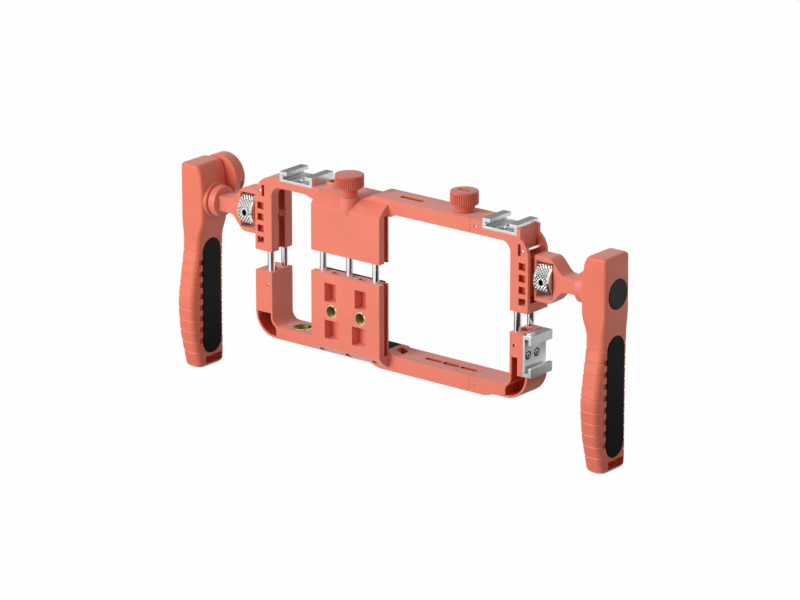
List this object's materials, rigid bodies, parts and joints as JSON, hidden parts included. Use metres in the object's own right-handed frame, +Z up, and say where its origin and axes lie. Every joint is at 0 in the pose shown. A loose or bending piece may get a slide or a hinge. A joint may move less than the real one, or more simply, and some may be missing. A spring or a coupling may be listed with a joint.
{
  "type": "smartphone video rig",
  "caption": "Phone video cage whose upper half slides on rods and clamps by a screw knob, with cold shoes, threaded inserts and a swivelling ribbed grip on an arm at each side.",
  "frame": {"origin": "under the middle of the rig's box, on the surface that the two grips stand on", "axes": "+X to the right seen from the plates' side, +Y from the plates towards the phone, +Z up"},
  "size_m": [0.2914, 0.0398, 0.135],
  "materials": {
    "coral_plastic": "fine satin moulding",
    "knob_plastic": "satin moulding",
    "polished_steel": "polished",
    "pin_steel": "ground",
    "shoe_aluminium": "satin anodised",
    "wheel_steel": "nickel, diamond knurl",
    "insert_brass": "turned",
    "pad_rubber": "matte",
    "black_plastic": "matte"
  },
  "bodies": {
    "lower_half": {"lower_frame": "coral_plastic", "lower_corner": "coral_plastic", "lower_dowel": "pin_steel", "side_rods": "polished_steel", "rod_pins": "pin_steel", "plate_inserts": "insert_brass", "base_insert": "insert_brass", "clamp_nut": "insert_brass", "side_shoe": "shoe_aluminium", "side_shoe_screws": "pin_steel", "lower_jaw_pad": "pad_rubber", "lower_plate_pad": "pad_rubber"},
    "upper_half": {"upper_frame": "coral_plastic", "upper_corner": "coral_plastic", "upper_dowel": "pin_steel", "strap_pins": "pin_steel", "guide_rods": "polished_steel", "left_top_shoe": "shoe_aluminium", "right_top_shoe": "shoe_aluminium", "top_shoe_screws": "pin_steel", "upper_jaw_pad": "pad_rubber", "upper_plate_pad": "pad_rubber", "top_insert": "insert_brass", "accessory_bush": "insert_brass", "stud_bushes": "insert_brass", "left_arm": "coral_plastic", "right_arm": "coral_plastic", "swivel_bolts": "polished_steel", "swivel_washers": "black_plastic"},
    "clamp_screw_set": {"clamp_knob": "knob_plastic", "clamp_screw": "polished_steel", "retaining_ring": "polished_steel"},
    "accessory_set": {"accessory_knob": "knob_plastic", "accessory_screw": "polished_steel"},
    "left_wheel": {"left_thumbwheel": "wheel_steel", "left_stud": "polished_steel"},
    "right_wheel": {"right_thumbwheel": "wheel_steel", "right_stud": "polished_steel"},
    "left_handle": {"left_grip": "coral_plastic", "left_outer_inlay": "pad_rubber", "left_inner_inlay": "pad_rubber", "left_cap": "black_plastic", "shutter_remote": "black_plastic"},
    "right_handle": {"right_grip": "coral_plastic", "right_outer_inlay": "pad_rubber", "right_inner_inlay": "pad_rubber", "right_cap": "black_plastic"},
    "shutter": {"shutter_button": "black_plastic"}
  },
  "joints": [
    {"name": "clamp_slide", "type": "slide", "parent": "lower_half", "child": "upper_half", "axis": [0, 0, 1], "range_m": [-0.0108, 0.014]},
    {"name": "clamp_knob_turn", "type": "hinge", "parent": "upper_half", "child": "clamp_screw_set", "pos_m": [-0.024, -0.0119, 0.1251], "axis": [0, 0, 1], "range_deg": [-1990, 2530]},
    {"name": "accessory_knob_turn", "type": "hinge", "parent": "upper_half", "child": "accessory_set", "pos_m": [0.0445, 0.0003, 0.1251], "axis": [0, 0, 1], "continuous": true},
    {"name": "left_wheel_turn", "type": "hinge", "parent": "upper_half", "child": "left_wheel", "pos_m": [-0.1016, 0.0003, 0.0975], "axis": [1, 0, 0], "continuous": true},
    {"name": "right_wheel_turn", "type": "hinge", "parent": "upper_half", "child": "right_wheel", "pos_m": [0.1016, 0.0003, 0.0975], "axis": [1, 0, 0], "continuous": true},
    {"name": "left_grip_swivel", "type": "hinge", "parent": "upper_half", "child": "left_handle", "pos_m": [-0.138, 0.0003, 0.0975], "axis": [1, 0, 0], "continuous": true},
    {"name": "right_grip_swivel", "type": "hinge", "parent": "upper_half", "child": "right_handle", "pos_m": [0.138, 0.0003, 0.0975], "axis": [1, 0, 0], "continuous": true},
    {"name": "shutter_press", "type": "slide", "parent": "left_handle", "child": "shutter", "axis": [0, -1, 0], "range_m": [0, 0.0008], "stiffness_N_per_m": 1500}
  ],
  "couplings": [
    {"joint": "clamp_knob_turn", "follows": "clamp_slide", "rad_per_m": 3141.6}
  ]
}
